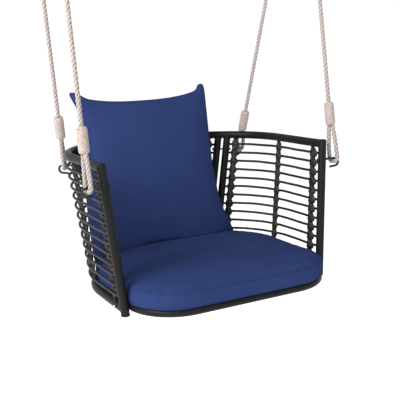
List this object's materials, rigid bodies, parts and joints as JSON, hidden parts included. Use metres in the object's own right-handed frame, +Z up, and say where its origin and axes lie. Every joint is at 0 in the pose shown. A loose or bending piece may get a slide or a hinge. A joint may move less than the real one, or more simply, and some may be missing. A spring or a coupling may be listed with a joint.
{
  "type": "porch swing seat",
  "caption": "Single hanging porch swing seat: curved steel and wicker side and back panels bolted round a seat frame, loose seat and back cushions, hung by four whipped ropes.",
  "frame": {"origin": "midway between the four hanging links, at the height of the axes of their top bars", "axes": "+Z up, -Y the way the sitter faces, +X to the sitter's left"},
  "size_m": [0.9312, 0.7307, 1.1515],
  "materials": {
    "powder_coat": "dark charcoal powder coat, satin",
    "wicker": "round resin wicker strand, near black with a brown cast",
    "blue_fabric": "royal blue woven polyester",
    "rope_fibre": "beige laid rope with twine whipping",
    "black_steel": "blackened steel",
    "bright_steel": "zinc plated steel",
    "black_plastic": "moulded foot cap"
  },
  "bodies": {
    "hanging_links": {"link_back_left": "bright_steel", "link_back_right": "bright_steel", "link_front_left": "bright_steel", "link_front_right": "bright_steel"},
    "rope_front_left": {"rope_front_left": "rope_fibre"},
    "rope_front_right": {"rope_front_right": "rope_fibre"},
    "rope_back_left": {"rope_back_left": "rope_fibre"},
    "rope_back_right": {"rope_back_right": "rope_fibre"},
    "seat": {"back_bottom_rail": "powder_coat", "back_cushion": "blue_fabric", "back_left_inner_stay": "powder_coat", "back_left_outer_stay": "powder_coat", "back_left_post": "powder_coat", "back_right_inner_stay": "powder_coat", "back_right_outer_stay": "powder_coat", "back_right_post": "powder_coat", "back_top_rail": "powder_coat", "back_wicker": "wicker", "hook_back_left": "black_steel", "hook_back_right": "black_steel", "hook_front_left": "black_steel", "hook_front_right": "black_steel", "hook_nut_back_left": "black_steel", "hook_nut_back_right": "black_steel", "hook_nut_front_left": "black_steel", "hook_nut_front_right": "black_steel", "joint_bolt_left_lower": "black_steel", "joint_bolt_left_upper": "black_steel", "joint_bolt_right_lower": "black_steel", "joint_bolt_right_upper": "black_steel", "left_bottom_rail": "powder_coat", "left_foot_cap": "black_plastic", "left_front_post": "powder_coat", "left_front_stay": "powder_coat", "left_middle_stay": "powder_coat", "left_rear_post": "powder_coat", "left_rear_stay": "powder_coat", "left_top_rail": "powder_coat", "left_wicker": "wicker", "right_bottom_rail": "powder_coat", "right_foot_cap": "black_plastic", "right_front_post": "powder_coat", "right_front_stay": "powder_coat", "right_middle_stay": "powder_coat", "right_rear_post": "powder_coat", "right_rear_stay": "powder_coat", "right_top_rail": "powder_coat", "right_wicker": "wicker", "seat_bar_left": "powder_coat", "seat_bar_middle": "powder_coat", "seat_bar_right": "powder_coat", "seat_bolt_left_front": "bright_steel", "seat_bolt_left_rear": "bright_steel", "seat_bolt_right_front": "bright_steel", "seat_bolt_right_rear": "bright_steel", "seat_cushion": "blue_fabric", "seat_frame": "powder_coat", "seat_weave": "wicker"}
  },
  "joints": [
    {"name": "rope_front_left_swing", "type": "hinge", "parent": "hanging_links", "child": "rope_front_left", "pos_m": [-0.44166, -0.11939, -0.052], "axis": [1, 0, 0], "range_deg": [-9, 9]},
    {"name": "rope_front_right_swing", "type": "hinge", "parent": "hanging_links", "child": "rope_front_right", "pos_m": [0.44166, -0.11939, -0.052], "axis": [1, 0, 0], "range_deg": [-9, 9]},
    {"name": "rope_back_left_swing", "type": "hinge", "parent": "hanging_links", "child": "rope_back_left", "pos_m": [-0.43751, 0.11939, -0.052], "axis": [1, 0, 0], "range_deg": [-9, 9]},
    {"name": "rope_back_right_swing", "type": "hinge", "parent": "hanging_links", "child": "rope_back_right", "pos_m": [0.43751, 0.11939, -0.052], "axis": [1, 0, 0], "range_deg": [-9, 9]},
    {"name": "seat_tilt", "type": "hinge", "parent": "rope_front_left", "child": "seat", "pos_m": [-0.44166, -0.21879, -0.752], "axis": [1, 0, 0], "range_deg": [-5, 5]}
  ],
  "couplings": [
    {"joint": "rope_front_right_swing", "follows": "rope_front_left_swing", "ratio": 1},
    {"joint": "rope_back_left_swing", "follows": "rope_front_left_swing", "ratio": 1},
    {"joint": "rope_back_right_swing", "follows": "rope_front_left_swing", "ratio": 1},
    {"joint": "seat_tilt", "follows": "rope_front_left_swing", "ratio": -0.4972}
  ]
}
